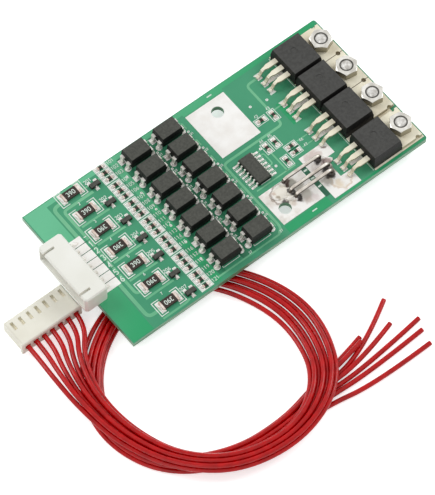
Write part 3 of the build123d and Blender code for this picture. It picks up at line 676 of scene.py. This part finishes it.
# Chips about the logic chip: x, y, and whether they stand upright
CONTROL_CHIPS = [
    (17.5, 7.55, False),
    (21.1, 6.9, True),
    (13.6, 0.2, True),
    (16.3, 0.25, True),
    (18.7, -3.1, False),
    (18.7, -5.1, False),
    (15.25, -5.95, True),
]
FET_ROWS = (15.6, 5.2, -5.2, -16.6)
FET_LEADS = [row + shift for row in FET_ROWS for shift in (2.54, 0, -2.54)]
SCREW_X = 43.85
BRIDGE_FEET = [
    *((10.17, -10.6), (9.77, -13.8), (10.07, -15.8)),
    *((22.0, -10.6), (22.3, -13.8), (21.8, -15.8)),
]
TEST_PADS = [(12.1, 1.1), (12.05, -5.3), (22.6, 11.5), (17.9, 12.5)]

# Copper under the mask: solid areas first, then traces over them
pours = Print(POUR_Z)
pours.patch(-47.45, -41.1, -22.75, 22.75)
pours.patch(-41.1, 47.1, 21.4, 22.75)
pours.patch(2.6, 15.5, 20.7, 21.4)
pours.patch(2.6, 16.4, -22.8, -20.3)
pours.patch(17.9, 47.0, -22.8, -22.3)
pours.patch(23.4, 26.3, 1.4, 9.0)
pours.patch(-20.9, -18.9, -22.2, 21.4)
pours.done("copper_pours", POUR_WITH_PAINTED_SHEEN, "solder_mask")

# Darker green: painted shade between the coupler columns, and darker green inside the chip frames
shade_and_dark_green = Print(SHADE_AND_DARK_GREEN_Z)
shade_and_dark_green.patch(-18.8, -16.8, -21.4, 21.3)
shade_and_dark_green.patch(-11.3, -7.1, -21.4, 21.3)
for rows in CHIP_ROWS:
    shade_and_dark_green.patch(CHIP_X - 1.7, CHIP_X + 1.7, rows[-1] - 0.9, min(rows[0] + 0.9, 22.9))
shade_and_dark_green.done("painted_shade_and_dark_green", SHADE, "solder_mask")

traces = Print(TRACE_Z)
traces.strip(bent([(-37.2, 20.0), (-40.2, 20.0), (-40.2, -19.5), (-36.6, -19.5)], 1.6), 1.0)
traces.strip(bent([(-29.0, 17.75), (-38.5, 17.75), (-38.5, -12.4), (-36.6, -12.4)], 1.1), 0.8)
for resistor, row in zip(RESISTORS[1:], BLEED_ROWS[1:]):
    below = resistor[1] - 2.9
    traces.strip(bent([(-37.6, below), (-30.0, below), (-28.8, row - 1.2)], 0.8), 0.6)
for row in BLEED_ROWS:
    traces.strip([(-31.0, row + 0.9), (-28.6, row + 0.9)], 0.5)
    traces.strip([(-26.7, row + 0.9), (-25.4, row + 0.9)], 0.5)
sense_line = [(24.6, 18.14), (21.1, 18.14), (21.1, 3.35), (1.75, 3.35), (1.75, -20.0), (0.2, -21.2)]
traces.strip(bent(sense_line, 1.3), 0.7)
traces.strip([(-19.5, -21.35), (0.3, -21.35)], 0.5)
traces.strip([(3.6, -8.1), (16.2, -8.1)], 0.4)
traces.strip(bent([(13.5, -1.4), (13.5, -8.1)], 0.5), 0.45)
traces.strip(bent([(10.8, -0.4), (11.9, -0.4), (11.9, -4.2), (10.8, -4.2)], 0.8), 0.4)
traces.strip(bent([(9.8, 0.86), (13.0, 0.86)], 0.5), 0.35)
traces.strip([(22.2, 8.0), (24.4, 8.0)], 0.45)
traces.strip([(20.8, -2.9), (24.3, -2.9)], 0.35)
traces.strip([(20.8, -5.2), (24.3, -5.2)], 0.35)
for row in COUPLER_ROWS:
    traces.strip([(-10.4, row + LEG_Y), (-8.9, row + 2.2), (-8.0, row + LEG_Y)], 0.4)
    traces.strip([(-20.4, row - LEG_Y), (-18.2, row - LEG_Y)], 0.5)
    traces.strip([(-0.4, row + LEG_Y), (1.0, row + 0.6), (1.0, row - 1.2)], 0.35)
traces.done("board_traces", TRACE, "solder_mask")

# Mask left between the header's lands and between the two soldered lands
gaps = Print(GAP_Z)
for low, high in zip(PIN_ROWS[1:], PIN_ROWS):
    middle = (low + high) / 2
    gaps.strip([(-44.5, middle), (-39.4, middle)], 0.24)
    gaps.strip([(-39.4, middle), (-37.9, middle)], 0.14)
gaps.patch(16.42, 17.72, -20.3, -9.4)
gaps.done("mask_gaps", GAP, "solder_mask")

# White print: frames, pin numbers and plain numbers beside the parts
silk = Print(SILK_Z)
for x, y in RESISTORS:
    low, high = y - 2.2, min(y + 2.2, 22.8)
    for side in (-1, 1):
        near, far = x + side * 1.75, x + side * 3.9
        silk.strip([(near, high), (far, high), (far, low), (near, low)], 0.25)
for rows in CHIP_ROWS:
    low, high = rows[-1] - CHIP_PITCH / 2 - 0.02, rows[0] + CHIP_PITCH / 2
    silk.frame(CHIP_X - 1.8, CHIP_X + 1.8, low + 0.12, min(high, 22.75), 0.3)
    for upper, lower in zip(rows, rows[1:]):
        middle = (upper + lower) / 2
        silk.strip([(CHIP_X - 1.8, middle), (CHIP_X + 1.8, middle)], 0.26)
for x, y, upright in CONTROL_CHIPS:
    wide, deep = (1.05, 1.75) if upright else (1.75, 1.0)
    silk.frame(x - wide, x + wide, y - deep, y + deep, 0.2)
for x in COUPLER_COLUMNS:
    for number, row in enumerate(COUPLER_ROWS):
        write(silk, str(number + 21), x + 5.4, row - 3.15, 0.6, 0.13)
    silk.strip([(x - 2.6, -19.6), (x - 2.6, -20.05), (x + 2.6, -20.05), (x + 2.6, -19.6)], 0.2)
silk.strip([(5.6, -7.3), (8.7, -7.3)], 0.22)
for row in LOGIC_ROWS[1:]:
    for side in (-1, 1):
        silk.strip([(LOGIC_X + side * 2.5, row - 0.64), (LOGIC_X + side * 4.2, row - 0.64)], 0.1)
silk.strip([(30.75, -21.8), (30.75, 20.8)], 0.2)
for y in (-11.0, -13.9, -16.8):
    silk.patch(16.55, 17.6, y - 0.25, y + 0.25)
for row in FET_ROWS[:3]:
    for low, high in ((3.3, 3.7), (-3.7, -3.3)):
        silk.patch(24.3, 26.1, row + low, row + high)
for text, y in zip("-123456", (8.6, 6.0, 3.7, 1.0, -1.6, -4.25, -6.7)):
    write(silk, text, -38.7, y, 1.55, 0.24)
for number, (x, y) in enumerate(RESISTORS[1:]):
    write(silk, str(number + 2), x, y + 3.0, 0.75, 0.15)
for number, y in enumerate(BLEED_ROWS):
    write(silk, str(number + 201), -28.4, y + 2.15, 0.95, 0.17)
for number, y in enumerate(CHIPS):
    write(silk, str(number + 101), -20.35, y, 0.95, 0.16)
control_numbers = [(17.2, 9.3), (21.1, 9.4), (13.6, 2.6), (16.3, 2.7), (22.0, -3.2), (22.0, -5.1)]
for number, (x, y) in enumerate(control_numbers):
    write(silk, str(number + 42), x, y, 0.75, 0.14)
for y in (21.7, -21.4):
    silk.patch(10.9, 12.4, y - 0.18, y + 0.18)
silk.done("silk_print", SILK, "solder_mask")

# The resistors' value, on their tops
codes = Print(LAND_TOP + RESISTOR_HIGH + 0.01)
for (x, y), turned in zip(RESISTORS, (False, False, True, True, False, True, True)):
    write(codes, "390", x, y, 1.15, 0.2, turned)
codes.done("resistor_codes", SILK, "resistor_ceramic")

# Painted shade: dark discs over the mouths of the lead holes
mouth_shade = Print(MOUTH_SHADE_Z)
for x, y in COUPLER_LEGS:
    mouth_shade.ring(x, y, 0.02, 0.47, 12)
mouth_shade.done("hole_mouth_shade", SHADOW, "tinned_copper")

# Bare pads under the small parts and around the lead holes
pads = Print(PAD_Z)
for x, y in COUPLER_LEGS:
    pads.ring(x, y, 0.42, 0.88)
for x, row in COUPLERS:
    # The first lead's pad is square
    first_x, first_y = x - LEG_X, row + LEG_Y
    for u, v in ((-1, -1), (-1, 1), (1, -1), (1, 1)):
        corner = [(0.6, 0.6), (0.86, 0.3), (0.86, 0.86), (0.3, 0.86)][:: u * v]
        pads.polygon([(first_x + u * across, first_y + v * along) for across, along in corner])
for x in COUPLER_COLUMNS:
    for row in COUPLER_ROWS[:-1]:
        pads.ring(x + 5.0, row - 2.2, 0.14, 0.34, 12)
        pads.ring(x - 5.5, row - 2.9, 0.14, 0.34, 12)
for y in CHIPS:
    for side in (-1, 1):
        low, high = sorted((CHIP_X + side * 0.6, CHIP_X + side * 1.62))
        pads.patch(low, high, y - 0.78, y + 0.78)
for x, y, upright in CONTROL_CHIPS:
    for side in (-1, 1):
        if upright:
            low, high = sorted((y + side * 0.6, y + side * 1.55))
            pads.patch(x - 0.7, x + 0.7, low, high)
        else:
            low, high = sorted((x + side * 0.6, x + side * 1.55))
            pads.patch(low, high, y - 0.7, y + 0.7)
for row in LOGIC_ROWS:
    for side in (-1, 1):
        low, high = sorted((LOGIC_X + side * 2.35, LOGIC_X + side * 4.0))
        pads.patch(low, high, row - 0.32, row + 0.32)
for row in BLEED_ROWS:
    for dx, dy in ((-0.95, 1.15), (0.95, 1.15), (0, -1.15)):
        pads.patch(BLEED_X + dx - 0.5, BLEED_X + dx + 0.5, row + dy - 0.5, row + dy + 0.5)
for x, y in TEST_PADS:
    pads.ring(x, y, 0.15, 0.38, 12)
pads.done("bare_pads", TIN, "tinned_copper")

# Bare strips on the board under the middle leads of the switching transistors
strips = Print(STRIP_Z)
for row, start in zip(FET_ROWS, (26.0, 26.0, 26.0, 27.2)):
    strips.patch(start, 31.0, row - 0.62, row + 0.62)
strips.done("lead_strips", STRIP, "tinned_copper")

# Solder at the leads and end caps
joints = Solder()
for x, y in COUPLER_LEGS:
    joints.heap(x, y, PAD_TOP, 0.7, 0.7, 0.3, Solder.COLLAR, 12)
for x, y in RESISTORS:
    for side in (-1, 1):
        joints.heap(x + side * 2.78, y, LAND_TOP, 0.42, 1.25, 0.42)
        joints.heap(x + side * 2.75, y - 1.25, LAND_TOP, 0.5, 0.38, 0.28, sides=12)
for row in BLEED_ROWS:
    joints.heap(BLEED_X, row - 1.15, PAD_TOP, 0.52, 0.5, 0.34, sides=12)
    for side in (-1, 1):
        joints.heap(BLEED_X + side * 0.95, row + 1.15, PAD_TOP, 0.36, 0.36, 0.24, sides=10)
for y in CHIPS:
    for side in (-1, 1):
        joints.heap(CHIP_X + side * 1.05, y, PAD_TOP, 0.4, 0.5, 0.3, sides=10)
for x, y, upright in CONTROL_CHIPS:
    for side in (-1, 1):
        dx, dy = (0, side * 0.98) if upright else (side * 0.98, 0)
        wide, deep = (0.42, 0.3) if upright else (0.3, 0.42)
        joints.heap(x + dx, y + dy, PAD_TOP, wide, deep, 0.32, sides=10)
for y in FET_LEADS:
    joints.heap(25.0, y, LAND_TOP, 0.6, 0.72, 0.55, sides=14)
for row in LOGIC_ROWS:
    for side in (-1, 1):
        joints.heap(LOGIC_X + side * 3.15, row, PAD_TOP, 0.42, 0.26, 0.2, sides=10)
joints.done("solder_joints", SOLDER, "tinned_lead")

# The underside: a pad and a soldered lead end below each lead hole
under_pads = Print(BOARD_UNDER - HAIR, faces_down=True)
under_joints = Solder()
for x, y in COUPLER_LEGS:
    under_pads.ring(x, y, 0.4, 1.0)
    under_joints.heap(x, y, BOARD_UNDER - HAIR, 0.85, 0.85, -0.42, Solder.COLLAR, 12)
under_pads.done("underside_pads", TIN, "tinned_copper")
under_joints.done("underside_joints", SOLDER, "tinned_lead")

# Solder heaped by hand on the battery and shunt lands, and a drop beside the header
repairs = Solder()
repairs.heap(7.8, -12.4, LAND_TOP, 2.5, 1.9, 0.34, sides=24)
repairs.heap(6.2, -11.6, LAND_TOP, 1.3, 1.2, 0.3, sides=18)
repairs.heap(9.0, -14.9, LAND_TOP, 1.2, 0.8, 0.45, sides=18)
for x, y in BRIDGE_FEET:
    repairs.heap(x, y, LAND_TOP, 1.15, 0.95, 0.95, sides=18)
repairs.heap(23.4, -12.3, LAND_TOP, 1.5, 0.9, 0.4, sides=18)
repairs.heap(-42.6, 8.5, LAND_TOP, 1.5, 0.75, 0.35, sides=18)
repairs.done("hand_solder", STAINED_AND_PAINTED_LIGHT, "tinned_copper")

# Painted shade: a dark ring in the gap between each screw's end and the mouth of its nut
nut_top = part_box("clamp_nuts")[1][2] / MM
thread_shade = Print(nut_top + HAIR)
for row in FET_ROWS:
    thread_shade.ring(SCREW_X, row, 1.5, 1.86, 24)
thread_shade.done("thread_gap_shade", SHADOW, "screw_steel")

# The dark line where two tabs meet
seams = Print(TAB_TOP + HAIR)
for upper, lower in zip(FET_ROWS[:2], FET_ROWS[1:3]):
    middle = (upper + lower) / 2
    seams.strip([(40.4, middle), (46.8, middle)], 0.2)
seams.done("tab_seams", SEAM, "tinned_copper")

# Stage


def is_seen(tree):
    """1 where the camera looks, straight or through gloss or glass."""
    path = tree.nodes.new("ShaderNodeLightPath")
    seen = path.outputs["Is Camera Ray"]
    for ray in ("Is Glossy Ray", "Is Transmission Ray"):
        higher = tree.nodes.new("ShaderNodeMath")
        higher.operation = "MAXIMUM"
        tree.links.new(seen, higher.inputs[0])
        tree.links.new(path.outputs[ray], higher.inputs[1])
        seen = higher.outputs[0]
    return seen


FLOOR_GLOW = (196, 196, 196)
FLOOR_REACH, FLOOR_DROP = 2, 0.00005
corners = [(x * FLOOR_REACH, y * FLOOR_REACH, 0) for x, y in ((-1, -1), (1, -1), (1, 1), (-1, 1))]
floor_mesh = bpy.data.meshes.new("floor")
floor_mesh.from_pydata(corners, [], [(0, 1, 2, 3)])
floor = bpy.data.objects.new("floor", floor_mesh)
floor.location.z = -FLOOR_DROP
floor_look = wandering("floor_white", (255, 255, 255), (254, 254, 254), 3, rough=0.9, shine=0)
floor_tree = floor_look.node_tree
floor_shader = floor_tree.nodes["Principled BSDF"]
floor_shader.inputs["Emission Color"].default_value = tone(*FLOOR_GLOW)
floor_tree.links.new(is_seen(floor_tree), floor_shader.inputs["Emission Strength"])
floor_mesh.materials.append(floor_look)
scene.collection.objects.link(floor)

SKY_LIGHT = 0.45
world = bpy.data.worlds.new("studio")
world.use_nodes = True
sky = world.node_tree.nodes["Background"]
sky.inputs["Color"].default_value = (1, 1, 1, 1)
level = world.node_tree.nodes.new("ShaderNodeMapRange")
level.inputs["To Min"].default_value = SKY_LIGHT
world.node_tree.links.new(is_seen(world.node_tree), level.inputs["Value"])
world.node_tree.links.new(level.outputs["Result"], sky.inputs["Strength"])
scene.world = world


def softbox(name, place, size, power):
    """A square lamp facing the middle of the part."""
    lamp = bpy.data.lights.new(name, "AREA")
    lamp.size = size
    lamp.energy = power
    lit = bpy.data.objects.new(name, lamp)
    lit.location = place
    lit.rotation_mode = "QUATERNION"
    lit.rotation_quaternion = (Vector((0, 0, 0)) - Vector(place)).to_track_quat("-Z", "Y")
    scene.collection.objects.link(lit)


softbox("back_light", (-0.45, 0.8, 0.8), 0.6, 5)
softbox("right_light", (0.9, -0.1, 0.8), 0.6, 5)
softbox("left_light", (-0.8, -0.5, 0.6), 0.5, 1)

scene.view_settings.view_transform = "Standard"
